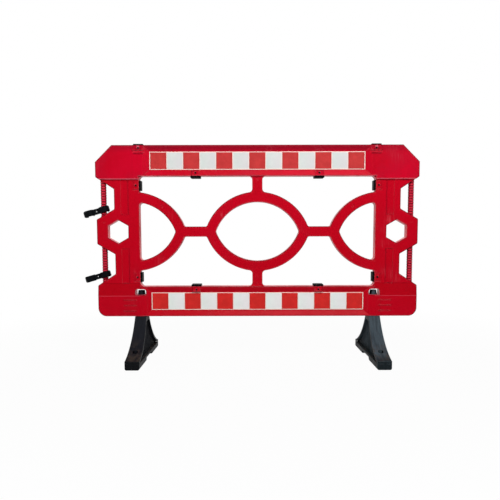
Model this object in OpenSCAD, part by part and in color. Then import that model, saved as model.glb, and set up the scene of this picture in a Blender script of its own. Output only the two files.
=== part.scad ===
// Pedestrian barrier panel: two moulded half shells held by clips, on two feet that turn, with
// link rods and connectors at the ends and reflective sheets in the rails.
// The front faces -Y, +X is to the right as seen from the front, and the ground is z = 0.

/* [Panel] */
// Width of the panel, without the connectors
panel_w = 1500; // [1400:10:1800]
// Height of the panel, without the feet
panel_h = 796; // [780:2:860]
// Height of the top edge above the ground
top_z = 1000; // [990:5:1100]
// Depth of the rails and end blocks, front to back
beam_depth = 54; // [50:1:64]
// Depth of the stiles and bands, front to back
band_depth = 40; // [38:1:46]
// Wall of the shells
wall = 3.5; // [2.5:0.25:4]
// Height of each rail
rail_h = 141; // [135:1:150]
// Width of each stile
stile_w = 116; // [110:1:130]
// How far the side windows cut in from the ends
notch_w = 83; // [78:1:90]
// Cut corner at the top
chamfer = 77; // [40:1:100]
// Radius of the bottom corners
corner_r = 40; // [10:1:60]
// Small radius of the outer corners
edge_r = 7; // [3:0.5:12]

/* [Openwork] */
// Width of the curved bands, of the links and of the stubs
band_w = 47.5; // [40:0.5:56]
// Inner radius of the eye's arcs
eye_r = 207; // [200:1:215]
// Length of the stubs between the eye and the rails
stub_l = 72; // [64:0.5:80]
// How far the centre of a half eye lies beyond the stile's inner edge
half_eye_shift = 27; // [20:1:34]
// Fillet where a rail meets a stile
rail_fillet = 19; // [8:1:26]
// Fillet where a band meets a stile, outside the half eye
stile_fillet = 8; // [4:1:16]
// Fillet where a band meets a stile, inside the half eye
half_eye_fillet = 14; // [6:1:20]
// Fillet where a band meets a link
link_fillet = 9; // [4:1:14]
// Fillet at both ends of a stub
stub_fillet = 16; // [6:1:20]
// Radius of the eyes' tips
tip_r = 17; // [8:1:22]

/* [End blocks] */
// Hexagonal hand hole across flats
hex_hole = 95; // [85:1:105]
// Hexagonal block across flats
hex_block = 198; // [190:1:204]
// How far the upper blocks reach below the rail
block_drop = 15; // [8:1:22]
// How far the block's outer corner lies below the rail's edge
block_corner_drop = 5; // [0:1:10]
// Slope of the block over the side window, in degrees
block_slope = 33; // [28:1:36]
// Height of the ramp from the stile to the lower block
ramp_h = 59; // [40:1:70]
// Flute down the stile, width
flute_w = 34; // [20:1:40]
// Distance of the flute from the stile's outer edge
flute_edge = 31; // [20:1:40]
// Distance of the flute's end from the hand hole
flute_end = 25; // [15:1:40]
// Flute down the stile, depth
flute_d = 1.5; // [0.5:0.25:2]
// Stiffening ribs on the lower block, number
block_rib_n = 3; // [1:1:3]
// Stiffening ribs on the lower block, length
block_rib_l = 60; // [40:1:80]
// Stiffening ribs on the lower block, spacing
block_rib_pitch = 26; // [20:1:28]
// Height of a moulded rib or pad above the face
relief_h = 1.5; // [1:0.25:2.5]
// Bulge of the face over the spigot, width
bulge_w = 40; // [30:1:46]
// Bulge of the face over the spigot, height above the face
bulge_h = 2.5; // [1:0.25:4]

/* [Reflective sheets] */
// Length of a sheet
sheet_w = 1000; // [800:10:1040]
// Height of a sheet
sheet_h = 82; // [70:1:88]
// Thickness of a sheet
sheet_t = 0.8; // [0.5:0.1:1.5]
// Thickness of the red squares
square_t = 0.4; // [0.3:0.1:0.8]
// Number of squares, red and white, along a sheet
square_n = 13; // [9:2:17]
// White border round the squares
sheet_border = 3; // [2:0.5:6]
// White line between two squares
square_gap = 1.5; // [1:0.25:4]
// Depth of the recess for the sheet
trough_d = 10; // [6:0.5:12]
// Room round a sheet in its recess
trough_margin = 3; // [1:0.5:6]
// Flat lip between the recess and the rail's edges
trough_lip = 4; // [2:0.5:8]
// Run of the recess's sloping ends
trough_run = 27; // [15:1:30]

/* [Clips] */
// Length of a rail's clip along the edge
clip_l = 46; // [40:1:52]
// Room between a stile's clip and the fillets at its ends
clip_room = 0.6; // [0.2:0.1:2]
// How far a clip stands out into an opening
clip_out = 9.5; // [6:0.5:12]
// How far a clip stands out of the top edge
clip_out_top = 5.5; // [4:0.5:8]
// How far a clip stays behind the faces
clip_inset = 2; // [1:0.5:4]
// Prong width
prong_w = 30; // [24:1:34]
// Prong thickness
prong_t = 5; // [4:0.25:5.5]
// Prong length
prong_l = 28; // [24:1:32]
// Gap from the joint face to the prong
prong_y = 5; // [4:0.25:6]
// Diameter of the stud on a prong
stud_d = 7.6; // [6:0.2:9]
// Distance of the stud from the edge
stud_drop = 14; // [11:0.5:16]
// Clearance round prongs and studs
clip_fit = 0.3; // [0.2:0.05:0.5]
// Raised pad round the studs, width
pad_w = 36; // [30:1:44]
// Raised pad round the studs at the top edge, width
top_pad_w = 50; // [40:1:56]
// Raised pad round the studs, height
pad_h = 24; // [20:1:26]
// Radius of a clip's outer corners
clip_r = 3; // [1:0.5:5]

/* [Pegs] */
// Diameter of the pegs that line up the shells
peg_d = 7.8; // [6:0.2:9]
// Clearance of a peg in its boss
peg_fit = 0.15; // [0.1:0.05:0.3]
// How far a peg reaches into the other shell
peg_l = 9; // [6:0.5:12]
// Place of the band's pegs, across from the half eye's centre
peg_dx = 133; // [110:1:150]
// Distance of the stub's pegs from the rail
peg_drop = 12; // [8:1:16]
// Depth of the round sink mark over a peg's boss
sink_d = 0.6; // [0.3:0.1:1]

/* [Rods] */
// Diameter of a link rod over its ribs
rod_d = 27; // [24:0.5:29]
// Distance of the rods from the panel's ends
rod_in = 30; // [26:0.5:32]
// Depth of the ribs
rod_rib_d = 1.2; // [0.6:0.1:2]
// Spacing of the ribs
rod_rib_pitch = 12; // [10:0.5:16]
// Depth of a rod's sockets on the rod's axis
socket_l = 28; // [24:1:34]
// Clearance round a rod in its sockets
rod_fit = 0.3; // [0.2:0.05:0.5]
// Wall of a socket inside the shell
socket_wall = 4; // [3:0.25:5]

/* [Connectors] */
// Diameter of a jaw, loose on a rod so that the connector hangs at a slant
jaw_d = 37; // [36.8:0.2:40]
// Wall of a jaw
jaw_wall = 7; // [5:0.5:8]
// Distance between the two jaws
jaw_pitch = 72; // [68:1:84]
// Height of a connector
conn_h = 29; // [24:1:30]
// Mouth of a jaw, narrower than the rod
jaw_mouth = 24; // [18:0.5:25]
// Bevel of a jaw's rims
jaw_bevel = 4; // [2:0.5:5]
// Depth of the arm between the jaws
arm_depth = 24; // [18:1:30]
// Hole through the arm
arm_hole = 9; // [6:0.5:12]
// Slant of a hanging connector, in degrees
conn_tilt = 16; // [8:1:16]
// Room between a hanging connector and the slope below it
conn_gap = 0.8; // [0.5:0.1:3]

/* [Feet] */
// Distance of the feet from the panel's ends
foot_in = 200; // [180:1:215]
// Length of a foot, front to back
foot_l = 490; // [420:5:560]
// Width of a foot at the ground
foot_w = 64; // [58:1:76]
// Width of a foot at its top
foot_top_w = 52; // [48:1:58]
// Depth of a foot at its top, front to back
foot_top_l = 72; // [64:1:90]
// Height of the toes
toe_h = 38; // [30:1:46]
// Radius of the sweep from the top to the toes
sweep_r = 312; // [290:2:360]
// Thickness of the flanges
flange_t = 10; // [7:0.5:14]
// Thickness of the web between the flanges
web_t = 12; // [8:0.5:18]
// How far the web's ribs stay behind the flanges' edges
rib_inset = 6; // [3:0.5:10]
// Thickness of the web's ribs
rib_t = 5; // [4:0.5:8]
// Spacing of the web's ribs
rib_pitch = 26; // [22:1:34]
// Height of the solid head at the top of a foot
foot_head_h = 22; // [16:1:30]
// Height of the arch under a foot
foot_arch_h = 17; // [10:1:24]
// Length of the arch under a foot
foot_arch_l = 170; // [120:2:200]
// Radius of the toes' bottom edges
toe_r = 8; // [4:0.5:12]
// Diameter of the fixing holes
fix_d = 24; // [16:0.5:26]
// Distance of the fixing holes from the middle
fix_y = 172; // [160:1:185]
// Wall round the fixing holes
fix_wall = 7; // [5:0.5:9]
// Diameter of the spigot
spigot_d = 32; // [28:0.5:34]
// Clearance of the spigot in its bore
spigot_fit = 0.35; // [0.25:0.05:0.6]
// How far the snap head is wider than the spigot, each side
snap_lip = 2; // [1:0.25:3]
// Height of the snap head
snap_h = 20; // [14:0.5:22]
// Diameter of the snap head's top
snap_top_d = 30; // [24:0.5:32]
// Slot that splits the snap head, width
snap_slot_w = 5; // [3:0.5:8]
// Slot that splits the snap head, depth
snap_slot_l = 55; // [40:1:70]
// Vertical clearance above and below the panel on a foot
seat_gap = 0.3; // [0.2:0.05:0.6]
// Arched window over the spigot, width
arch_w = 50; // [46:1:56]
// Arched window over the spigot, height
arch_h = 27; // [25:1:32]
// Radius of the arched window's upper corners
arch_r = 11; // [5:0.5:14]
// Distance of the arched window from the rail's inner edge
arch_drop = 13; // [8:1:18]

/* [Hidden] */
$fn = 96;
RED = [0.78, 0.02, 0.1];
BLACK = [0.1, 0.1, 0.11];
WHITE = [0.9, 0.92, 0.9];
SHEET_RED = [0.8, 0.2, 0.18];
SIDES = [-1, 1];
LAP = 1;
CROSSING = 1.004;
PAST = 1.05;

mid_z = top_z - panel_h / 2;
end_x = panel_w / 2;
half_h = panel_h / 2;
ground_gap = top_z - panel_h;
beam_y = beam_depth / 2;
band_y = band_depth / 2;
stile_out = end_x - notch_w;
stile_in = stile_out - stile_w;
rail_in = half_h - rail_h;
rail_mid = half_h - rail_h / 2;

eye_out_r = eye_r + band_w;
eye_drop = eye_out_r + stub_l - rail_in;
half_eye_x = stile_in + half_eye_shift;
half_band = band_w / 2;

hex_slope = 30;
hex_x = end_x - hex_block / 2;
hex_corner = hex_block / 2 * tan(hex_slope);
block_low = rail_in - block_drop;
block_corner = rail_in - block_corner_drop;
notch_top = block_corner - notch_w * tan(block_slope);
notch_low = hex_corner + notch_w * tan(hex_slope);
flute_x = stile_out - flute_edge - flute_w / 2;
flute_low = hex_hole / 2 / cos(hex_slope) + flute_end;

rod_x = end_x - rod_in;
rod_r = rod_d / 2;
rod_low = hex_corner + rod_in * tan(hex_slope);
rod_high = block_corner - rod_in * tan(block_slope);
socket_r = rod_r + rod_fit;

jaw_r = jaw_d / 2;
jaw_out_r = jaw_r + jaw_wall;
rim_r = jaw_out_r - jaw_bevel;
jaw_side = conn_h / 2 / cos(conn_tilt);

foot_x = end_x - foot_in;
spigot_r = spigot_d / 2;
bore_r = spigot_r + spigot_fit;
arch_top = rail_in + arch_drop;
arch_low = arch_top + arch_h;
sheet_y = beam_y - trough_d;
square_pitch = (sheet_w - 2 * sheet_border) / square_n;
top_clip_x = foot_x;
rail_clip_x = (stile_in + half_band) / 2;
band_end = sqrt(pow(eye_out_r + stile_fillet, 2) - pow(half_eye_shift + stile_fillet, 2)) - eye_drop;
stile_clip_h = (rail_in - rail_fillet + band_end) / 2;
stile_clip_l = rail_in - rail_fillet - band_end - 2 * clip_room;

// Clips as [x, height, turn about Y, stand-out, half depth of the panel there, width of the pad, length]
TOP_CLIPS = [for (s = SIDES) [s * top_clip_x, half_h, 0, clip_out_top, beam_y, top_pad_w, clip_l]];
UPPER_CLIPS = [for (s = SIDES) [s * rail_clip_x, rail_in, 180, clip_out, beam_y, pad_w, clip_l]];
LOWER_CLIPS = [for (s = SIDES) [s * rail_clip_x, -rail_in, 0, clip_out, beam_y, pad_w, clip_l]];
STILE_CLIPS = [for (h = SIDES, s = SIDES)
    [s * stile_in, h * stile_clip_h, -90 * s, clip_out, band_y, pad_w, stile_clip_l]];
ALL_CLIPS = concat(TOP_CLIPS, UPPER_CLIPS, LOWER_CLIPS, STILE_CLIPS);

// Pegs as [x, height], on the middle of the bands and on the stubs
peg_h = sqrt(pow(eye_r + half_band, 2) - pow(peg_dx, 2)) - eye_drop;
PEGS = concat(
    [for (s = SIDES, h = SIDES) [s * (half_eye_x - peg_dx), h * peg_h]],
    [for (h = SIDES) [0, h * (rail_in - peg_drop)]]
);

function unit(v) = v / norm(v);

// The point where a circle of radius r about c is touched by a circle about p
function touch(c, r, p) = c + r * unit(p - c);

// A closed outline, points counter-clockwise, with each edge moved inwards by g
function inset(pts, g) =
    let (n = len(pts))
    [for (i = [0 : n - 1])
        let (
            a = unit(pts[i] - pts[(i + n - 1) % n]),
            b = unit(pts[(i + 1) % n] - pts[i]),
            na = [-a.y, a.x],
            nb = [-b.y, b.x]
        )
        pts[i] + g * (na + nb) / (1 + na * nb)];

// Right edge of the panel, from the bottom up
RIGHT_EDGE = [
    [end_x, -half_h], [end_x, -block_corner], [stile_out, -notch_top], [stile_out, -notch_low],
    [end_x, -hex_corner], [end_x, hex_corner], [stile_out, notch_low], [stile_out, notch_top],
    [end_x, block_corner], [end_x, half_h - chamfer], [end_x - chamfer, half_h]
];
EDGE_N = len(RIGHT_EDGE);
OUTLINE = concat(RIGHT_EDGE, [for (i = [EDGE_N - 1 : -1 : 0]) [-RIGHT_EDGE[i].x, RIGHT_EDGE[i].y]]);

// The sliver between a corner v and its rounding, a circle about c that touches the edges at t1, t2
// The circle is a hair larger, so that it crosses the edges in clear points
module rounding_gap(v, t1, t2, c, r) {
    difference() {
        polygon([v + (v - c) / 4, c + (t1 - c) * PAST, c, c + (t2 - c) * PAST]);
        translate(c) circle(r * CROSSING);
    }
}

// The same sliver for a corner v of two straight edges that run towards a and b
module corner_gap(v, a, b, r) {
    da = unit(a - v);
    db = unit(b - v);
    half = acos(da * db) / 2;
    reach = r / tan(half);
    rounding_gap(v, v + da * reach, v + db * reach, v + unit(da + db) * r / sin(half), r);
}

module four_ways() {
    for (s = SIDES, h = SIDES) scale([s, h]) children();
}

// Two arcs that meet in tips on the middle line
module lens(r) {
    intersection_for (s = SIDES) translate([0, s * eye_drop]) circle(r);
}

// The curved bands, links and stubs, each side moved in by g
module bands(g) {
    for (x = [-half_eye_x, 0, half_eye_x]) translate([x, 0]) lens(eye_out_r - g);
    square([2 * half_eye_x, band_w - 2 * g], center = true);
    square([band_w - 2 * g, 2 * rail_in + 4 * g + LAP], center = true);
}

// Everything open between the rails and the stiles, each side moved out by g
module openings(g) {
    difference() {
        square([2 * (stile_in + g), 2 * (rail_in + g)], center = true);
        bands(g);
    }
    lens(eye_r + g);
    intersection() {
        for (s = SIDES) translate([s * half_eye_x, 0]) lens(eye_r + g);
        square([2 * (stile_in + g), 2 * eye_r], center = true);
    }
}

// Fillets of one quarter of the openwork
module opening_fillets() {
    eye_c = [0, -eye_drop];
    half_c = [half_eye_x, -eye_drop];
    // rail and stile
    corner_gap([stile_in, rail_in], [stile_in, 0], [0, rail_in], rail_fillet);
    // stub and rail
    corner_gap([half_band, rail_in], [half_band, 0], [stile_in, rail_in], stub_fillet);
    // stub and eye
    stub_x = half_band + stub_fillet;
    stub_c = [stub_x, sqrt(pow(eye_out_r + stub_fillet, 2) - pow(stub_x, 2)) - eye_drop];
    stub_v = [half_band, sqrt(pow(eye_out_r, 2) - pow(half_band, 2)) - eye_drop];
    rounding_gap(stub_v, [half_band, stub_c.y], touch(eye_c, eye_out_r, stub_c), stub_c, stub_fillet);
    // link and both eyes
    link_y = half_band + link_fillet;
    link_dx = sqrt(pow(eye_out_r + link_fillet, 2) - pow(link_y + eye_drop, 2));
    edge_dx = sqrt(pow(eye_out_r, 2) - pow(half_band + eye_drop, 2));
    for (k = [[eye_c, 1], [half_c, -1]]) {
        c = [k[0].x + k[1] * link_dx, link_y];
        v = [k[0].x + k[1] * edge_dx, half_band];
        rounding_gap(v, [c.x, half_band], touch(k[0], eye_out_r, c), c, link_fillet);
    }
    // stile and half eye, outside and inside
    for (k = [[eye_out_r, 1, stile_fillet], [eye_r, -1, half_eye_fillet]]) {
        x = stile_in - k[2];
        c = [x, sqrt(pow(k[0] + k[1] * k[2], 2) - pow(x - half_eye_x, 2)) - eye_drop];
        v = [stile_in, sqrt(pow(k[0], 2) - pow(half_eye_shift, 2)) - eye_drop];
        rounding_gap(v, [stile_in, c.y], touch(half_c, k[0], c), c, k[2]);
    }
}

// Rounded tips of the eye and of the half eyes, on the right
module tip_fillets() {
    tip_dx = sqrt(pow(eye_r - tip_r, 2) - pow(eye_drop, 2));
    end_dx = sqrt(pow(eye_r, 2) - pow(eye_drop, 2));
    for (k = [[0, 1], [half_eye_x, -1]]) {
        c = [k[0] + k[1] * tip_dx, 0];
        t = touch([k[0], -eye_drop], eye_r, c);
        rounding_gap([k[0] + k[1] * end_dx, 0], t, [t.x, -t.y], c, tip_r);
    }
}

// The panel seen from the front, with every edge moved in by g
module panel_2d(g = 0) {
    difference() {
        polygon(inset(OUTLINE, g));
        difference() {
            openings(g);
            if (g == 0) {
                four_ways() opening_fillets();
                for (s = SIDES) scale([s, 1]) tip_fillets();
            }
        }
        for (s = SIDES) translate([s * hex_x, 0]) rotate(hex_slope)
            circle((hex_hole / 2 + g) / cos(hex_slope), $fn = 6);
        if (g == 0) {
            four_ways() {
                corner_gap([end_x, block_corner], [end_x, half_h], [stile_out, notch_top], edge_r);
                corner_gap([end_x, hex_corner], [end_x, 0], [stile_out, notch_low], edge_r);
            }
            for (s = SIDES) scale([s, 1])
                corner_gap([end_x, -half_h], [end_x, 0], [0, -half_h], corner_r);
        }
    }
    if (g == 0) four_ways() {
        corner_gap([stile_out, notch_top], [end_x, block_corner], [stile_out, 0], edge_r);
        corner_gap([stile_out, notch_low], [end_x, hex_corner], [stile_out, half_h], edge_r);
    }
}

// A profile in Y and Z run along X from x0 to x1
module along_x(x0, x1) {
    translate([x0, 0, 0]) rotate([90, 0, 90]) linear_extrude(x1 - x0) children();
}

// A front view run back from the depth y0 to the depth y1, y0 nearer the middle
module along_y(y0, y1) {
    translate([0, -y0, 0]) rotate([90, 0, 0]) linear_extrude(y1 - y0) children();
}

// What the stiles and bands are set back from the rails' faces, moved in by g
module set_back(g) {
    face = beam_y + LAP;
    ramp = ramp_h / (beam_y - band_y);
    for (s = SIDES) scale([s, 1, 1]) along_x(stile_in, end_x + LAP)
        polygon([
            [-face, block_low + g], [-face, -block_low - ramp * (face - band_y + g)],
            [g - band_y, -block_low], [g - band_y, block_low + g]
        ]);
    along_y(band_y - g, face) square([2 * (stile_in + LAP), 2 * (rail_in + g)], center = true);
}

// The recess for a sheet in a rail, moved in by g
module trough(g) {
    rise = (rail_h / 2 - trough_lip - sheet_h / 2 - trough_margin) / trough_d;
    run = trough_run / trough_d;
    floor_z = sheet_h / 2 + trough_margin;
    floor_x = sheet_w / 2 + trough_margin;
    over = trough_d + g + LAP;
    translate([0, g - sheet_y, 0]) intersection() {
        along_x(-panel_w, panel_w) polygon([
            [0, floor_z], [-over, floor_z + rise * over],
            [-over, -floor_z - rise * over], [0, -floor_z]
        ]);
        translate([0, 0, -rail_h]) linear_extrude(2 * rail_h) polygon([
            [floor_x, 0], [-floor_x, 0],
            [-floor_x - run * over, -over], [floor_x + run * over, -over]
        ]);
    }
}

module troughs(g) {
    for (h = SIDES) translate([0, 0, h * rail_mid]) trough(g);
}

// Places its children at each clip, with the edge at z = 0 and the panel below it
module at_clip(c) {
    translate([c[0], 0, c[1]]) rotate([0, c[2], 0]) children();
}

// A prong's pocket in the front shell, and the stud's hole through its face
module prong_pocket(half) {
    w = prong_w + 2 * clip_fit;
    translate([-w / 2, -prong_y - prong_t - clip_fit, -prong_l - clip_fit])
        cube([w, prong_t + 2 * clip_fit, prong_l + clip_fit + LAP]);
    translate([0, -prong_y, -stud_drop]) rotate([90, 0, 0])
        cylinder(d = stud_d + 2 * clip_fit, h = half);
}

// Sockets of the upper rods and of all rods as [lower end, upper end], run out past the slopes
UPPER_SOCKETS = [
    [rod_low - socket_l, rod_low + socket_r * tan(hex_slope) + LAP],
    [rod_high - socket_r * tan(block_slope) - LAP, rod_high + socket_l]
];
SOCKETS = concat(UPPER_SOCKETS, [for (k = UPPER_SOCKETS) [-k[1], -k[0]]]);

// Solid places inside a shell: spigot bosses, rod sockets, clip pads and peg bosses
module cores() {
    for (s = SIDES) {
        x = s * foot_x - arch_w / 2 - wall;
        translate([x, -beam_y, -half_h])
            cube([arch_w + 2 * wall, beam_depth, half_h - arch_top + wall]);
        for (k = SOCKETS) translate([s * rod_x, 0, k[0] - wall])
            cylinder(r = socket_r + socket_wall, h = k[1] - k[0] + 2 * wall);
    }
    for (c = ALL_CLIPS) at_clip(c)
        translate([-c[5] / 2 - wall, -beam_y, -prong_l - wall])
            cube([c[5] + 2 * wall, beam_depth, prong_l + 2 * wall]);
    for (p = PEGS) translate([p.x, 0, p.y]) rotate([90, 0, 0]) cylinder(d = peg_d + 2 * wall, h = beam_y);
}

module arch_2d() {
    difference() {
        translate([-arch_w / 2, -arch_low]) square([arch_w, arch_h]);
        for (s = SIDES)
            corner_gap([s * arch_w / 2, -arch_top], [s * arch_w / 2, -arch_low], [0, -arch_top], arch_r);
    }
}

// Raised pads, ribs and the bulges over the spigots
module face_relief() {
    bulge_r = (pow(bulge_w / 2, 2) + pow(bulge_h, 2)) / (2 * bulge_h);
    for (c = ALL_CLIPS) at_clip(c)
        translate([-c[5] / 2, -c[4] - relief_h, -pad_h - LAP])
            cube([c[5], relief_h + beam_y - sheet_y + LAP, pad_h]);
    for (s = SIDES) {
        for (i = [1 : block_rib_n])
            translate([s * (foot_x + (bulge_w + block_rib_l) / 2), -beam_y, i * block_rib_pitch - half_h])
                cube([block_rib_l, 2 * relief_h, 2 * relief_h], center = true);
        translate([s * foot_x, -beam_y, -half_h]) intersection() {
            translate([0, bulge_r - bulge_h, 0]) cylinder(r = bulge_r, h = half_h - arch_low);
            translate([-bulge_w, -beam_y, 0]) cube([2 * bulge_w, beam_y + wall, half_h]);
        }
    }
}

// The front half shell about the panel's middle; its joint face is y = 0
module half_shell() {
    difference() {
        union() {
            difference() {
                along_y(0, beam_y) panel_2d();
                set_back(0);
                troughs(0);
                difference() {
                    along_y(-LAP, beam_y - wall) panel_2d(wall);
                    set_back(wall);
                    troughs(wall);
                    cores();
                }
            }
            face_relief();
        }
        for (s = SIDES) {
            translate([s * foot_x, 0, -half_h - LAP]) cylinder(r = bore_r, h = half_h - arch_low + 2 * LAP);
            translate([s * foot_x, 0, 0]) along_y(-LAP, beam_y + bulge_h + LAP) arch_2d();
            for (k = SOCKETS) translate([s * rod_x, 0, k[0]]) cylinder(r = socket_r, h = k[1] - k[0]);
            for (h = SIDES) translate([s * flute_x, -band_y, h * (flute_low + block_low) / 2])
                cube([flute_w, 2 * flute_d, block_low - flute_low], center = true);
        }
        for (c = ALL_CLIPS) at_clip(c) prong_pocket(c[4]);
        for (p = PEGS) translate([p.x, -band_y, p.y]) rotate([90, 0, 0])
            cylinder(d = peg_d, h = 2 * sink_d, center = true);
    }
}

module front_shell() {
    color(RED) translate([0, 0, mid_z]) difference() {
        half_shell();
        for (p = PEGS) translate([p.x, LAP, p.y]) rotate([90, 0, 0])
            cylinder(d = peg_d + 2 * peg_fit, h = peg_l + 2 * LAP);
    }
}

module rear_shell() {
    color(RED) translate([0, 0, mid_z]) {
        scale([1, -1, 1]) half_shell();
        for (p = PEGS) translate([p.x, LAP, p.y]) rotate([90, 0, 0]) cylinder(d = peg_d, h = peg_l + LAP);
    }
}

// A clip: a bridge over the joint of the shells, and two prongs with studs
module clip(c) {
    bridge_y = c[4] - clip_inset;
    stud_l = c[4] + relief_h - prong_y - clip_inset;
    end = c[6] / 2;
    color(BLACK) translate([0, 0, mid_z]) at_clip(c) {
        along_y(-bridge_y, bridge_y) difference() {
            translate([-end, 0]) square([2 * end, c[3]]);
            for (s = SIDES) corner_gap([s * end, c[3]], [s * end, 0], [0, c[3]], clip_r);
        }
        for (s = SIDES) scale([1, s, 1]) {
            translate([-prong_w / 2, prong_y, -prong_l]) cube([prong_w, prong_t, prong_l + LAP]);
            translate([0, prong_y, -stud_drop]) rotate([-90, 0, 0]) cylinder(d = stud_d, h = stud_l);
        }
    }
}

// A link rod with plain ends and ribs between, on side s; the upper one if h is 1
module rod(s, h) {
    low = rod_low - socket_l + seat_gap;
    high = rod_high + socket_l - seat_gap;
    first = rod_low - socket_l / 4;
    n = floor((rod_high + socket_l / 4 - first) / rod_rib_pitch);
    last = first + n * rod_rib_pitch;
    color(RED) translate([s * rod_x, 0, mid_z]) scale([1, 1, h]) {
        translate([0, 0, low]) cylinder(r = rod_r - rod_rib_d, h = high - low);
        translate([0, 0, low]) cylinder(r = rod_r, h = first - low);
        translate([0, 0, last]) cylinder(r = rod_r, h = high - last);
        for (i = [1 : n]) translate([0, 0, first + (i - 1 / 2) * rod_rib_pitch])
            cylinder(r = rod_r, h = rod_rib_pitch / 2, center = true);
    }
}

// A connector: two C-jaws on an arm, the inner jaw about the z axis and the other towards -X
module connector() {
    jaw = [
        [jaw_r, -conn_h / 2], [rim_r, -conn_h / 2], [jaw_out_r, jaw_bevel - conn_h / 2],
        [jaw_out_r, conn_h / 2 - jaw_bevel], [rim_r, conn_h / 2], [jaw_r, conn_h / 2]
    ];
    difference() {
        union() {
            for (x = [0, -jaw_pitch]) translate([x, 0, 0]) rotate_extrude() polygon(jaw);
            translate([-jaw_pitch / 2, 0, 0])
                cube([jaw_pitch - jaw_r - jaw_out_r, arm_depth, conn_h - jaw_bevel], center = true);
        }
        for (x = [0, -jaw_pitch]) translate([x - jaw_mouth / 2, 0, -conn_h])
            cube([jaw_mouth, 2 * jaw_out_r, 2 * conn_h]);
        translate([-jaw_pitch / 2, 0, 0]) rotate([90, 0, 0])
            cylinder(d = arm_hole, h = 2 * arm_depth, center = true);
    }
}

// Height of a connector on its rod, just clear of the slope below it when it turns square to the panel
function rest_on(corner, slope) =
    let (steepest = norm([tan(slope), tan(conn_tilt)]))
    corner + rod_in * tan(slope) + jaw_side + conn_gap
        + max(rim_r * steepest, jaw_out_r * steepest - jaw_bevel);

module hung_connector(height) {
    color(BLACK) translate([-rod_x, 0, mid_z + height]) rotate([0, -conn_tilt, 0]) connector();
}

// Centre of the sweep in front of a foot, which passes through the top's edge and the toe's top
function sweep_centre() =
    let (
        a = [foot_top_l / 2, ground_gap],
        b = [foot_l / 2, toe_h],
        d = b - a,
        m = (a + b) / 2
    )
    m + [-d.y, d.x] / norm(d) * sqrt(pow(sweep_r, 2) - pow(norm(d) / 2, 2));

// A foot from the side, in Y and Z
module foot_side() {
    c = sweep_centre();
    difference() {
        translate([-foot_l / 2, 0]) square([foot_l, ground_gap - seat_gap]);
        for (s = SIDES) translate([s * c.x, c.y]) circle(sweep_r);
        polygon([
            [-foot_arch_l / 2, -LAP], [foot_arch_l / 2, -LAP],
            [foot_arch_l / 2 - foot_arch_h, foot_arch_h], [foot_arch_h - foot_arch_l / 2, foot_arch_h]
        ]);
    }
}

// The hollow between a foot's flanges, from the side
module foot_hollow() {
    c = sweep_centre();
    low = foot_arch_h + flange_t;
    difference() {
        translate([-foot_l / 2, low]) square([foot_l, ground_gap - foot_head_h - low]);
        for (s = SIDES) translate([s * c.x, c.y]) circle(sweep_r + flange_t);
    }
}

// A foot from the front, in X and Z, wider at the ground
module foot_front() {
    half = foot_w / 2;
    difference() {
        polygon([[-half, 0], [half, 0], [half, toe_h], [foot_top_w / 2, ground_gap],
            [-foot_top_w / 2, ground_gap], [-half, toe_h]]);
        for (s = SIDES) corner_gap([s * half, 0], [s * half, toe_h], [0, 0], toe_r);
    }
}

module foot_ribs() {
    n = floor(foot_l / 2 / rib_pitch);
    for (i = [-n : n]) translate([i * rib_pitch - rib_t / 2, 0]) square([rib_t, ground_gap]);
}

// The split spigot with its snap head, about the z axis
module spigot() {
    bore_top = top_z - half_h - arch_low;
    head_r = spigot_r + snap_lip;
    difference() {
        union() {
            translate([0, 0, ground_gap - foot_head_h])
                cylinder(r = spigot_r, h = bore_top - ground_gap + foot_head_h + LAP);
            translate([0, 0, bore_top + seat_gap]) cylinder(r1 = head_r, d2 = snap_top_d, h = snap_h);
        }
        translate([-head_r, -snap_slot_w / 2, bore_top + snap_h - snap_slot_l])
            cube([2 * head_r, snap_slot_w, snap_slot_l + LAP]);
    }
}

module foot(s) {
    color(BLACK) translate([s * foot_x, 0, 0]) {
        difference() {
            intersection() {
                along_x(-foot_w, foot_w) foot_side();
                along_y(-foot_l, foot_l) foot_front();
                difference() {
                    cube([2 * foot_w, 2 * foot_l, 2 * top_z], center = true);
                    for (m = SIDES) scale([m, 1, 1]) {
                        difference() {
                            along_x(web_t / 2, foot_w) foot_hollow();
                            along_x(0, foot_top_w / 2 - rib_inset) foot_ribs();
                            for (y = SIDES) translate([0, y * fix_y, 0])
                                cylinder(d = fix_d + 2 * fix_wall, h = ground_gap);
                        }
                    }
                }
            }
            for (y = SIDES) translate([0, y * fix_y, -LAP]) cylinder(d = fix_d, h = ground_gap);
        }
        spigot();
    }
}

module sheet(h) {
    color(WHITE) translate([-sheet_w / 2, -sheet_y - sheet_t, mid_z + h * rail_mid - sheet_h / 2])
        cube([sheet_w, sheet_t, sheet_h]);
}

module red_squares(h) {
    size = square_pitch - square_gap;
    tall = sheet_h - 2 * sheet_border;
    color(SHEET_RED) for (i = [0 : 2 : square_n - 1])
        translate([
            (i - (square_n - 1) / 2) * square_pitch - size / 2,
            -sheet_y - sheet_t - square_t,
            mid_z + h * rail_mid - tall / 2
        ]) cube([size, square_t, tall]);
}

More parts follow.
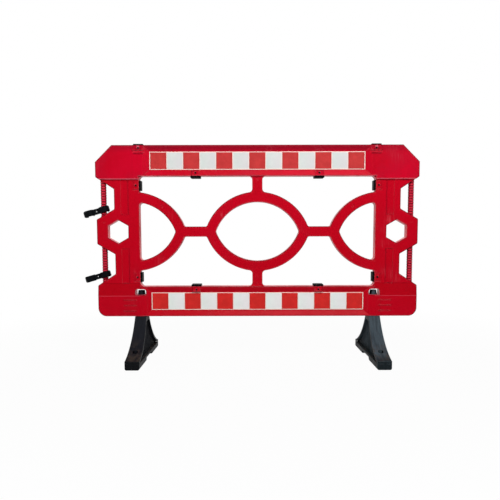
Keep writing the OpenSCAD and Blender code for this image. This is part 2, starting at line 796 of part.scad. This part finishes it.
front_shell();
rear_shell();
clip(TOP_CLIPS[0]);  // clip_top_left
clip(TOP_CLIPS[1]);  // clip_top_right
clip(UPPER_CLIPS[0]);  // clip_upper_rail_left
clip(UPPER_CLIPS[1]);  // clip_upper_rail_right
clip(LOWER_CLIPS[0]);  // clip_lower_rail_left
clip(LOWER_CLIPS[1]);  // clip_lower_rail_right
clip(STILE_CLIPS[0]);  // clip_stile_lower_left
clip(STILE_CLIPS[1]);  // clip_stile_lower_right
clip(STILE_CLIPS[2]);  // clip_stile_upper_left
clip(STILE_CLIPS[3]);  // clip_stile_upper_right
rod(-1, 1);  // rod_upper_left
rod(-1, -1);  // rod_lower_left
rod(1, 1);  // rod_upper_right
rod(1, -1);  // rod_lower_right
hung_connector(rest_on(hex_corner, hex_slope));  // connector_upper
hung_connector(rest_on(-block_corner, block_slope));  // connector_lower
foot(-1);  // foot_left
foot(1);  // foot_right
sheet(1);  // sheet_upper
sheet(-1);  // sheet_lower
red_squares(1);  // red_squares_upper
red_squares(-1);  // red_squares_lower
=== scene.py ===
from math import radians

import bpy
from mathutils import Matrix, Vector


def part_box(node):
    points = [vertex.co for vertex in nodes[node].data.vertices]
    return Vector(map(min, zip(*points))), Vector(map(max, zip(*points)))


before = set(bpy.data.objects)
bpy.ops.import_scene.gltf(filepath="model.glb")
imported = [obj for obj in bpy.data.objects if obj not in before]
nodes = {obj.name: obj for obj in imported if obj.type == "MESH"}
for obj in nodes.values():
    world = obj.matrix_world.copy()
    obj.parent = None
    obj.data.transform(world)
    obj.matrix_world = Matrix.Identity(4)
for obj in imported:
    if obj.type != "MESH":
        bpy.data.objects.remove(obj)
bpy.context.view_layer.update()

scene = bpy.context.scene
scene.view_settings.view_transform = "Standard"


def middle_x(name):
    low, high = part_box(name)
    return (low.x + high.x) / 2


# Reflective sheets, in metres: the squares' spacing, the gap between two and the white border
SQUARES = 13
BORDER = 0.003
GAP = 0.0015
sheet_low, sheet_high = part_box("sheet_upper")
PITCH = (sheet_high.x - sheet_low.x - 2 * BORDER) / SQUARES

# Link rods: how far out their axes stand, and their radius over the ribs
rod_low, rod_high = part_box("rod_upper_right")
ROD_X = middle_x("rod_upper_right")
ROD_RADIUS = (rod_high.x - rod_low.x) / 2

# Places on the shells: the pads under the top clips, where the end blocks begin, the lower edge of the
# upper blocks, the ramps of the lower blocks, and the flutes with a margin around them
PAD_X = middle_x("clip_top_right")
BLOCK_X = 0.552
STEP_Z = 0.844
RAMP_LOW, RAMP_HIGH = 0.300, 0.3595
FLUTE_X = (0.590, 0.640)
FLUTE_Z = (0.352, 0.840)


def colour(r, g, b):
    return (r, g, b, 1.0)


def scaled(tone, factor):
    return colour(*[min(factor * c, 1.0) for c in tone])


# Tones of the red plastic, and of the painted shade, highlights and reflections on it
STREAK_RED = colour(0.40, 0.0006, 0.010)
MOTTLED_RED = colour(0.70, 0.006, 0.040)
WORN_RED = colour(0.46, 0.004, 0.022)
LOWER_SHADE_RED = colour(0.490, 0.0003, 0.006)
RAMP_SHADE_RED = colour(0.37, 0.0003, 0.004)
RIM_SHADE_RED = colour(0.27, 0.003, 0.017)
CREASE_SHADE_RED = colour(0.24, 0.0003, 0.004)
SLOT_SHADOW_RED = colour(0.16, 0.001, 0.008)
SHADED_RED = colour(0.17, 0.0004, 0.008)
CORNER_SHADE_RED = colour(0.20, 0.002, 0.010)
RIB_HIGHLIGHT_RED = colour(0.72, 0.030, 0.066)
ROD_SIDE_SHADE_RED = colour(0.20, 0.0004, 0.008)
STEP_HIGHLIGHT_PINK = colour(0.86, 0.16, 0.24)
PAD_HIGHLIGHT_PINK = colour(0.86, 0.2, 0.27)
SCRATCH_PINK = colour(0.74, 0.12, 0.16)
RUBBED_HIGHLIGHT_PINK = colour(0.86, 0.26, 0.32)
WALL_REFLECTION_PINK = colour(0.95, 0.26, 0.29)

# Tones of the feet, the film and the studio
FOOT_DARK = colour(0.0022, 0.0024, 0.0034)
FOOT_GREY = colour(0.0038, 0.0040, 0.0056)
FOOT_DUST = colour(0.062, 0.046, 0.036)
FILM_COOL = (0.69, 0.745, 0.715)
FILM_WARM = (0.735, 0.72, 0.725)
FILM_PALE = colour(0.80, 0.815, 0.80)
FILM_LINE = colour(0.50, 0.52, 0.51)
FILM_CREAM = colour(0.95, 0.76, 0.69)
FILM_GRIME = colour(0.52, 0.47, 0.43)
RED_FILM_LINE = colour(0.38, 0.018, 0.018)
RED_FILM_CUT = colour(0.28, 0.02, 0.022)
PAPER_DARK = colour(0.44, 0.44, 0.44)
PAPER_LIGHT = colour(0.48, 0.48, 0.48)
WHITE = colour(1.0, 1.0, 1.0)


class Graph:
    """A node tree that is filled one node at a time."""

    def __init__(self, tree):
        self.tree = tree
        tree.nodes.clear()

    def put(self, socket, value):
        if isinstance(value, bpy.types.NodeSocket):
            self.tree.links.new(value, socket)
        else:
            socket.default_value = value

    def node(self, kind, inputs=None, **settings):
        made = self.tree.nodes.new("ShaderNode" + kind)
        for name, value in settings.items():
            setattr(made, name, value)
        for name, value in (inputs or {}).items():
            self.put(made.inputs[name], value)
        return made

    def math(self, operation, a, b=0.0, c=0.0):
        made = self.node("Math", {0: a, 1: b, 2: c}, operation=operation)
        return made.outputs[0]

    def fade(self, value, low, high, start=0.0, end=1.0):
        """start where value is low, end where it is high, and smooth between."""
        made = self.node(
            "MapRange",
            {"Value": value, "From Min": low, "From Max": high, "To Min": start, "To Max": end},
            interpolation_type="SMOOTHSTEP",
        )
        return made.outputs["Result"]

    def between(self, value, low, high, soft):
        """1 between two values and 0 outside, with soft ends."""
        return self.overlap(
            self.fade(value, low - soft, low + soft), self.fade(value, high + soft, high - soft)
        )

    def overlap(self, *masks):
        """1 only where all masks are 1."""
        made = masks[0]
        for mask in masks[1:]:
            made = self.math("MULTIPLY", made, mask)
        return made

    def mix(self, share, a, b):
        made = self.node("Mix", data_type="RGBA")
        for index, value in ((0, share), (6, a), (7, b)):
            self.put(made.inputs[index], value)
        return made.outputs[2]

    def tint(self, base, mask, share, tone):
        """base with a share of another tone where the mask is 1."""
        return self.mix(self.math("MULTIPLY", mask, share), base, tone)

    def noise(self, vector, scale, detail=3.0, roughness=0.55):
        made = self.node(
            "TexNoise",
            {"Vector": vector, "Scale": scale, "Detail": detail, "Roughness": roughness},
        )
        return made.outputs["Fac"]

    def stretch(self, vector, factors):
        made = self.node("VectorMath", {0: vector, 1: factors}, operation="MULTIPLY")
        return made.outputs[0]

    def split(self, vector):
        made = self.node("SeparateXYZ", {"Vector": vector})
        return made.outputs["X"], made.outputs["Y"], made.outputs["Z"]

    def size(self, value):
        return self.math("ABSOLUTE", value)

    def off(self, value, centre):
        """How far a value lies from a centre."""
        return self.size(self.math("SUBTRACT", value, centre))

    def open_air(self, reach, **settings):
        """Ambient occlusion: 1 in the open, less in corners and holes."""
        return self.node("AmbientOcclusion", {"Distance": reach}, **settings).outputs["AO"]

    def bump(self, height, distance, strength, normal=None):
        inputs = {"Height": height, "Distance": distance, "Strength": strength}
        if normal is not None:
            inputs["Normal"] = normal
        return self.node("Bump", inputs).outputs["Normal"]


def new_material(name):
    made = bpy.data.materials.new(name)
    made.use_nodes = True
    graph = Graph(made.node_tree)
    position = graph.node("TexCoord").outputs["Object"]
    return made, graph, position


def close(graph, base, rough, normal, shine):
    shader = graph.node("BsdfPrincipled", {
        "Base Color": base, "Roughness": rough, "Normal": normal, "Specular IOR Level": shine,
    })
    graph.node("OutputMaterial", {"Surface": shader.outputs["BSDF"]})


def soft_normal(graph, radius):
    """The normal with rounded edges."""
    return graph.node("Bevel", {"Radius": radius}, samples=8).outputs["Normal"]


def edge_mask(graph, soft, reach):
    """1 along the outer edges, where a rounded normal turns away, and 0 on the faces."""
    flat = graph.node("NewGeometry").outputs["True Normal"]
    turn = graph.node("VectorMath", {0: soft, 1: flat}, operation="DOT_PRODUCT").outputs["Value"]
    air = graph.open_air(reach, samples=8, only_local=True)
    return graph.overlap(graph.fade(turn, 0.995, 0.93), graph.fade(air, 0.82, 0.95))


def scratches(graph, position, scale, turn, amount):
    """Thin marks along one direction, 1 on a mark."""
    turned = graph.node(
        "Mapping", {"Vector": position, "Rotation": turn, "Scale": (1.0, 1.0, 0.045)}
    ).outputs["Vector"]
    cells = graph.node(
        "TexVoronoi", {"Vector": turned, "Scale": scale}, feature="DISTANCE_TO_EDGE"
    ).outputs["Distance"]
    where = graph.fade(graph.noise(position, 9.0, 2.0), 0.62 - amount, 0.78 - amount)
    return graph.overlap(graph.fade(cells, 0.035, 0.008), where)


def red_plastic(graph, position, deep, bright):
    """Moulded red with a slow drift, flow streaks, mottling and dull patches, and the mottling alone."""
    drift = graph.fade(graph.noise(position, 3.2, 2.0), 0.35, 0.65)
    base = graph.mix(drift, colour(*deep), colour(*bright))
    streaks = graph.noise(graph.stretch(position, (46.0, 46.0, 1.6)), 1.0, 4.0)
    base = graph.mix(graph.fade(streaks, 0.52, 0.74, 0.0, 0.16), base, STREAK_RED)
    mottle = graph.noise(position, 60.0, 5.0, 0.65)
    base = graph.mix(graph.fade(mottle, 0.5, 0.8, 0.0, 0.22), base, MOTTLED_RED)
    dull = graph.noise(position, 9.0, 5.0, 0.6)
    return graph.mix(graph.fade(dull, 0.46, 0.64, 0.0, 0.55), base, WORN_RED), mottle


def shell_shade_and_highlights(graph, position, base):
    """Painted shade below the upper blocks, on the ramps, along the top and in the ramp creases, and
    painted highlight lines where the blocks step and at the foot of the ramps.
    """
    x, _, z = graph.split(position)
    out = graph.size(x)
    end = graph.fade(out, BLOCK_X - 0.004, BLOCK_X + 0.004)
    # Painted shade: everything below the upper blocks is darker red, as less light falls there.
    lower = graph.fade(z, STEP_Z + 0.004, STEP_Z - 0.006, 0.0, 0.56)
    base = graph.mix(lower, base, LOWER_SHADE_RED)
    # Painted shade on the ramps of the lower blocks.
    ramp = graph.overlap(end, graph.between(z, RAMP_LOW + 0.002, RAMP_HIGH - 0.0005, 0.002))
    base = graph.tint(base, ramp, 0.45, RAMP_SHADE_RED)
    # Painted shade along the top, strongest between the end blocks, where the upper face of the trough
    # looks down.
    rim = graph.overlap(graph.fade(z, 0.962, 0.992), graph.fade(out, 0.52, 0.50, 0.68, 1.0))
    base = graph.tint(base, rim, 0.72, RIM_SHADE_RED)
    # Painted highlight: pale pink lines along the lower edge of the upper blocks and, weaker, along the
    # foot of the ramps.
    step = graph.overlap(end, graph.between(z, STEP_Z - 0.001, STEP_Z + 0.004, 0.0008))
    foot = graph.overlap(end, graph.between(z, RAMP_LOW - 0.0015, RAMP_LOW + 0.0015, 0.0008))
    pale = graph.math("MAXIMUM", step, graph.math("MULTIPLY", foot, 0.7))
    base = graph.tint(base, pale, 0.32, STEP_HIGHLIGHT_PINK)
    # Painted shade in the creases at the top of the ramps.
    crease = graph.overlap(end, graph.between(z, RAMP_HIGH - 0.002, RAMP_HIGH + 0.002, 0.001))
    return graph.tint(base, crease, 0.5, CREASE_SHADE_RED)


def clip_pad(graph, position, base):
    """Painted shade in slots, a painted shadow under the pads and a painted highlight on their middle,
    on the pads under the top clips.
    """
    x, _, z = graph.split(position)
    off = graph.off(graph.size(x), PAD_X)
    # Painted shade in two slots on each pad, and a painted shadow under it.
    slots = graph.overlap(
        graph.between(off, 0.006, 0.013, 0.002), graph.between(z, 0.972, 0.986, 0.002)
    )
    under = graph.overlap(graph.fade(off, 0.026, 0.020), graph.between(z, 0.958, 0.966, 0.002))
    base = graph.tint(base, graph.math("MAXIMUM", slots, under), 0.6, SLOT_SHADOW_RED)
    # Painted highlight at the top of each pad's middle.
    rubbed = graph.overlap(graph.fade(off, 0.008, 0.004), graph.fade(z, 0.986, 0.990))
    return graph.tint(base, rubbed, 0.5, PAD_HIGHLIGHT_PINK)


def scuffed(graph, position, base):
    """The base with pale scratches in two directions, and the scratches alone."""
    coarse = scratches(graph, position, 34.0, (0.3, radians(62), 0.0), 0.0)
    fine = scratches(graph, position, 70.0, (0.1, radians(-35), 0.2), 0.04)
    marks = graph.math("MAXIMUM", coarse, fine)
    return graph.tint(base, marks, 0.30, SCRATCH_PINK), marks


def edge_shade_wear_and_highlight(graph, position, base, mottle, pale_edge_share):
    """Painted shade on edges that face up or outwards; the other edges get pale rubbing, strongest as a
    painted highlight where they face down, except at the flutes.
    """
    wide = soft_normal(graph, 0.0085)
    edge = edge_mask(graph, wide, 0.010)
    x, _, z = graph.split(position)
    side, _, up = graph.split(wide)
    outwards = graph.math("MULTIPLY", x, side)
    # Painted shade on edges that face up or outwards.
    shaded = graph.math("MAXIMUM", graph.fade(up, 0.03, 0.25), graph.fade(outwards, 0.02, 0.15))
    shaded = graph.overlap(edge, shaded)
    base = graph.tint(base, shaded, 0.9, SHADED_RED)
    flute = graph.overlap(
        graph.between(graph.size(x), *FLUTE_X, 0.002), graph.between(z, *FLUTE_Z, 0.002)
    )
    # Pale edges: light rubbing on all of them, and a painted highlight of floor light on those that face
    # down.
    rub = graph.overlap(
        edge,
        graph.fade(up, -0.05, -0.35, 0.25, 1.0),
        graph.fade(mottle, 0.40, 0.62, 0.6, 1.0),
        graph.math("SUBTRACT", 1.0, shaded),
        graph.math("MULTIPLY_ADD", flute, -0.85, 1.0),
    )
    return graph.tint(base, rub, pale_edge_share, RUBBED_HIGHLIGHT_PINK)


def corner_shade(graph, base, reach):
    # Painted shade: darker red in corners and holes, where less light reaches.
    air = graph.open_air(reach, samples=6)
    return graph.mix(graph.fade(air, 0.60, 0.20, 0.0, 0.40), base, CORNER_SHADE_RED)


def facing_front(graph):
    """1 on faces that look straight to the front or the back, 0 on walls."""
    return graph.size(graph.split(graph.node("NewGeometry").outputs["True Normal"])[1])


def close_red(graph, position, base, marks, shine):
    """Satin finish, duller on scratches, with orange peel and slow waves."""
    rough = graph.fade(graph.noise(position, 22.0, 4.0), 0.3, 0.75, 0.27, 0.36)
    rough = graph.math("ADD", rough, graph.math("MULTIPLY", marks, 0.15))
    peel = graph.noise(position, 420.0, 3.0, 0.6)
    normal = graph.bump(peel, 0.00012, 0.45, soft_normal(graph, 0.0045))
    normal = graph.bump(graph.noise(position, 28.0, 2.0), 0.0006, 0.22, normal)
    close(graph, base, rough, normal, shine)


def shell_red(name):
    """Moulded polyethylene of the shells, with a painted pale reflection on the walls inside the
    openings.
    """
    made, graph, position = new_material(name)
    base, mottle = red_plastic(graph, position, (0.52, 0.0006, 0.013), (0.60, 0.0009, 0.020))
    base = clip_pad(graph, position, shell_shade_and_highlights(graph, position, base))
    base, marks = scuffed(graph, position, base)
    base = edge_shade_wear_and_highlight(graph, position, base, mottle, 0.34)
    base = corner_shade(graph, base, 0.025)
    facing = facing_front(graph)
    # Painted reflection: the walls inside the openings turn pale pink, standing in for the white around
    # them seen at a glancing angle.
    inside = graph.fade(graph.open_air(0.12, samples=6), 0.97, 0.85)
    wall = graph.overlap(graph.fade(facing, 0.35, 0.15), inside)
    base = graph.tint(base, wall, 0.55, WALL_REFLECTION_PINK)
    close_red(graph, position, base, marks, graph.fade(facing, 0.35, 0.15, 0.05, 0.06))
    return made


def rod_red(name):
    """Dark red of the rods, with painted highlights on the ribs in front and painted shade on the sides.
    """
    made, graph, position = new_material(name)
    base, mottle = red_plastic(graph, position, (0.18, 0.0004, 0.005), (0.23, 0.0006, 0.007))
    base, marks = scuffed(graph, position, base)
    base = edge_shade_wear_and_highlight(graph, position, base, mottle, 0.05)
    base = corner_shade(graph, base, 0.010)
    facing = facing_front(graph)
    # Painted highlight on the crests of the ribs that face the front.
    x, y, _ = graph.split(position)
    out = graph.off(graph.size(x), ROD_X)
    square = graph.math("MULTIPLY_ADD", out, out, graph.math("MULTIPLY", y, y))
    on_rib = graph.fade(graph.math("SQRT", square), ROD_RADIUS - 0.0010, ROD_RADIUS - 0.0004)
    base = graph.tint(base, graph.overlap(on_rib, graph.fade(facing, 0.45, 0.75)), 0.9, RIB_HIGHLIGHT_RED)
    # Painted shade on the sides of the rods, which turn away from the front.
    base = graph.mix(graph.fade(facing, 0.80, 0.40, 0.0, 0.5), base, ROD_SIDE_SHADE_RED)
    close_red(graph, position, base, marks, graph.fade(facing, 0.35, 0.15, 0.05, 0.03))
    return made


def moulded_black(name, tone, worn, roughness):
    """Moulded black plastic with a fine grain, grey scuffs and greyed edges."""
    made, graph, position = new_material(name)
    cloud = graph.noise(position, 16.0, 3.0)
    base = graph.mix(graph.fade(cloud, 0.35, 0.7), colour(*tone), scaled(tone, 1.7))
    marks = scratches(graph, position, 60.0, (0.4, radians(48), 0.3), 0.05)
    base = graph.tint(base, marks, 0.35, colour(*worn))
    soft = soft_normal(graph, 0.0015)
    rub = graph.overlap(edge_mask(graph, soft, 0.004), graph.fade(cloud, 0.4, 0.62, 0.05, 0.4))
    base = graph.mix(rub, base, colour(*worn))
    rough = graph.fade(cloud, 0.3, 0.7, roughness - 0.05, roughness + 0.08)
    normal = graph.bump(graph.noise(position, 340.0, 4.0, 0.6), 0.0002, 0.5, soft)
    close(graph, base, rough, normal, 0.03)
    return made


def worn_foot_with_sheen(name, run, toe):
    """Recycled black plastic: a painted sheen of reflected light down the run that fades to a darker
    tone at the toes, dark sides and dust low down.
    """
    made, graph, position = new_material(name)
    height = graph.split(position)[2]
    facing_x, _, facing_up = graph.split(graph.node("NewGeometry").outputs["Normal"])
    cloud = graph.noise(position, 14.0, 4.0, 0.6)
    base = graph.mix(graph.fade(cloud, 0.35, 0.7), FOOT_DARK, FOOT_GREY)
    # Painted sheen: reflected light on the faces that don't look sideways, in streaks.
    along = graph.fade(graph.size(facing_x), 0.75, 0.35)
    streaks = graph.noise(graph.stretch(position, (120.0, 14.0, 14.0)), 1.0, 5.0, 0.6)
    sheen = graph.overlap(along, graph.fade(streaks, 0.30, 0.66, 0.55, 1.0))
    toe_tone = graph.mix(graph.fade(cloud, 0.3, 0.7, 0.5, 1.0), scaled(toe, 0.6), colour(*toe))
    run_tone = graph.mix(graph.fade(height, 0.036, 0.06), toe_tone, colour(*run))
    base = graph.mix(sheen, base, run_tone)
    marks = scratches(graph, position, 46.0, (radians(70), 0.2, 0.3), 0.06)
    base = graph.tint(base, marks, 0.3, scaled(run, 2.2))
    soft = soft_normal(graph, 0.003)
    rub = graph.overlap(edge_mask(graph, soft, 0.006), graph.fade(cloud, 0.38, 0.6, 0.1, 0.45))
    base = graph.mix(rub, base, scaled(run, 1.6))
    patch = graph.fade(graph.noise(position, 30.0, 4.0), 0.42, 0.64)
    dust = graph.overlap(graph.fade(height, 0.12, 0.05), graph.fade(facing_up, 0.1, 0.5), patch)
    base = graph.tint(base, dust, 0.6, FOOT_DUST)
    rough = graph.fade(cloud, 0.3, 0.7, 0.38, 0.5)
    rough = graph.math("ADD", rough, graph.math("MULTIPLY", dust, 0.35))
    normal = graph.bump(graph.noise(position, 260.0, 4.0, 0.65), 0.0003, 0.55, soft)
    close(graph, base, rough, normal, 0.03)
    return made


def across_square(graph, position):
    """How far along its square a point lies, 0 to 1, and whether the square is a white one."""
    x = graph.split(position)[0]
    along = graph.math("MULTIPLY_ADD", x, 1.0 / PITCH, SQUARES / 2.0)
    odd = graph.math("GREATER_THAN", graph.math("MODULO", along, 2.0), 1.0)
    return graph.math("FRACT", along), odd


def prisms(graph, position):
    """Lines of the prism cells in the film, 1 on a line."""
    cells = graph.node(
        "TexVoronoi", {"Vector": position, "Scale": 260.0, "Randomness": 0.12},
        feature="DISTANCE_TO_EDGE",
    ).outputs["Distance"]
    return graph.fade(cells, 0.16, 0.04)


def white_film(name, middle, tall, level):
    """Reflective sheet: grey-white prism squares within a cream border and cream lines."""
    made, graph, position = new_material(name)
    share, odd = across_square(graph, position)
    side = graph.off(share, 0.5)
    inside_x = graph.fade(side, 0.5 - 1.2 * GAP / PITCH, 0.5 - 2.4 * GAP / PITCH)
    inside_z = graph.fade(graph.off(graph.split(position)[2], middle), tall / 2, tall / 2 - 0.002)
    cell = graph.overlap(inside_x, inside_z, odd)
    grey = graph.mix(graph.fade(share, 0.1, 0.9), scaled(FILM_COOL, level), scaled(FILM_WARM, level))
    patch = graph.noise(position, 26.0, 3.0)
    grey = graph.mix(graph.fade(patch, 0.4, 0.7, 0.0, 0.25), grey, FILM_PALE)
    lines = prisms(graph, position)
    grey = graph.tint(grey, lines, 0.16, FILM_LINE)
    base = graph.mix(cell, FILM_CREAM, grey)
    grime = graph.noise(position, 8.0, 5.0, 0.7)
    base = graph.mix(graph.fade(grime, 0.52, 0.75, 0.0, 0.14), base, FILM_GRIME)
    rough = graph.fade(patch, 0.3, 0.7, 0.28, 0.4)
    close(graph, base, rough, graph.bump(lines, 0.00008, 0.5), 0.1)
    return made


def red_film(name, tone):
    """Red squares of reflective film, faded in patches, with darker cut edges."""
    made, graph, position = new_material(name)
    share, _ = across_square(graph, position)
    side = graph.off(share, 0.5)
    patch = graph.noise(position, 32.0, 4.0, 0.6)
    base = graph.mix(graph.fade(patch, 0.35, 0.7), colour(*tone), scaled(tone, 1.16))
    lines = prisms(graph, position)
    base = graph.tint(base, lines, 0.2, RED_FILM_LINE)
    cut = graph.fade(side, 0.5 - 3.2 * GAP / PITCH, 0.5 - 1.2 * GAP / PITCH, 0.0, 0.55)
    base = graph.mix(cut, base, RED_FILM_CUT)
    rough = graph.fade(patch, 0.3, 0.7, 0.28, 0.42)
    close(graph, base, rough, graph.bump(lines, 0.00008, 0.5), 0.1)
    return made


def dress(material, *names):
    for name in names:
        data = nodes[name].data
        data.materials.clear()
        data.materials.append(material)


# Materials of the pieces
CLIP_TONES = (0.0015, 0.0015, 0.0017), (0.016, 0.016, 0.017)
CONNECTOR_TONES = (0.0024, 0.0030, 0.0040), (0.024, 0.026, 0.029)
# Sheen tones of the feet, run then toe: lit and shaded copies, with the painted reflection bright on the
# right foot and dim on the left.
LEFT_FOOT_SHEEN_TONES = (0.0125, 0.0138, 0.0180), (0.0085, 0.0090, 0.0105)
RIGHT_FOOT_SHEEN_TONES = (0.0590, 0.0800, 0.0960), (0.0185, 0.0265, 0.0305)
FILMS = {"upper": ((0.51, 0.036, 0.036), 0.96), "lower": ((0.63, 0.022, 0.019), 1.23)}
dress(shell_red("red_shell"), "front_shell", "rear_shell")
dress(rod_red("red_rod"), *[n for n in nodes if n.startswith("rod_")])
dress(moulded_black("black_clip", *CLIP_TONES, 0.50), *[n for n in nodes if n.startswith("clip_")])
connector = moulded_black("black_connector", *CONNECTOR_TONES, 0.44)
dress(connector, "connector_upper", "connector_lower")
dress(worn_foot_with_sheen("foot_left", *LEFT_FOOT_SHEEN_TONES), "foot_left")
dress(worn_foot_with_sheen("foot_right", *RIGHT_FOOT_SHEEN_TONES), "foot_right")
for rail, (tone, level) in FILMS.items():
    low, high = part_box("sheet_" + rail)
    tall = high.z - low.z - 2 * BORDER
    dress(white_film("white_film_" + rail, (low.z + high.z) / 2, tall, level), "sheet_" + rail)
    dress(red_film("red_film_" + rail, tone), "red_squares_" + rail)


def background_ray(graph):
    """1 for the rays that show the background: straight, mirrored or through glass."""
    path = graph.node("LightPath").outputs
    seen = graph.math("MAXIMUM", path["Is Camera Ray"], path["Is Glossy Ray"])
    return graph.math("MAXIMUM", seen, path["Is Transmission Ray"])


def studio_world():
    """A white background. What lights the object is white behind it and dim in front and above."""
    world = bpy.data.worlds.new("studio")
    world.use_nodes = True
    scene.world = world
    graph = Graph(world.node_tree)
    way = graph.split(graph.node("TexCoord").outputs["Generated"])
    back = graph.fade(way[1], -0.35, 0.3, 0.08, 1.0)
    ceiling = graph.fade(way[2], 0.15, 0.75, 1.0, 0.45)
    around = graph.node("Background", {"Color": WHITE, "Strength": graph.overlap(back, ceiling)})
    white = graph.node("Background", {"Color": WHITE, "Strength": 1.0})
    mixed = graph.node(
        "MixShader", {0: background_ray(graph), 1: around.outputs[0], 2: white.outputs[0]}
    )
    graph.node("OutputWorld", {"Surface": mixed.outputs[0]})


def studio_floor():
    """A pale floor that keeps a soft shadow near the object and runs out to white."""
    half = 9.0
    level = -0.0004
    mesh = bpy.data.meshes.new("floor")
    mesh.from_pydata(
        [(-half, -half, level), (half, -half, level), (half, half, level), (-half, half, level)],
        [], [(0, 1, 2, 3)],
    )
    floor = bpy.data.objects.new("floor", mesh)
    scene.collection.objects.link(floor)
    made, graph, position = new_material("floor")
    mesh.materials.append(made)
    away = graph.node("VectorMath", {0: position}, operation="LENGTH").outputs["Value"]
    share = graph.overlap(background_ray(graph), graph.fade(away, 0.9, 2.2, 0.965, 1.0))
    paper = graph.mix(graph.fade(graph.noise(position, 2.0), 0.3, 0.7), PAPER_DARK, PAPER_LIGHT)
    matt = graph.node("BsdfDiffuse", {"Color": paper})
    glow = graph.node("Emission", {"Color": WHITE, "Strength": 1.0})
    mixed = graph.node("MixShader", {0: share, 1: matt.outputs[0], 2: glow.outputs[0]})
    graph.node("OutputMaterial", {"Surface": mixed.outputs[0]})


def softbox(name, place, target, size, power):
    light = bpy.data.lights.new(name, "AREA")
    light.shape = "RECTANGLE"
    light.size, light.size_y = size
    light.energy = power
    lamp = bpy.data.objects.new(name, light)
    scene.collection.objects.link(lamp)
    lamp.location = place
    lamp.rotation_euler = (Vector(target) - Vector(place)).to_track_quat("-Z", "Y").to_euler()


def photo_camera():
    """A camera that shows the panel as the photograph does."""
    data = bpy.data.cameras.new("camera")
    data.sensor_width = 36.0
    data.lens = 38.8219
    data.shift_x, data.shift_y = 0.00155, 0.049862
    camera = bpy.data.objects.new("camera", data)
    scene.collection.objects.link(camera)
    camera.matrix_world = (
        Matrix.Translation((-0.038584, -2.55, 0.607365))
        @ Matrix.Rotation(radians(90.0 - 4.7247), 4, "X")
        @ Matrix.Rotation(radians(-0.1231), 4, "Z")
    )
    scene.camera = camera


studio_world()
studio_floor()
softbox("key", (0.55, -2.4, 2.7), (0.0, 0.0, 0.65), (2.2, 1.7), 98.0)
softbox("fill", (-2.6, -2.1, 1.5), (0.0, 0.0, 0.6), (1.2, 1.6), 20.0)
softbox("rear", (-0.8, 3.0, 2.4), (0.0, 0.0, 0.6), (1.6, 1.0), 15.0)
photo_camera()
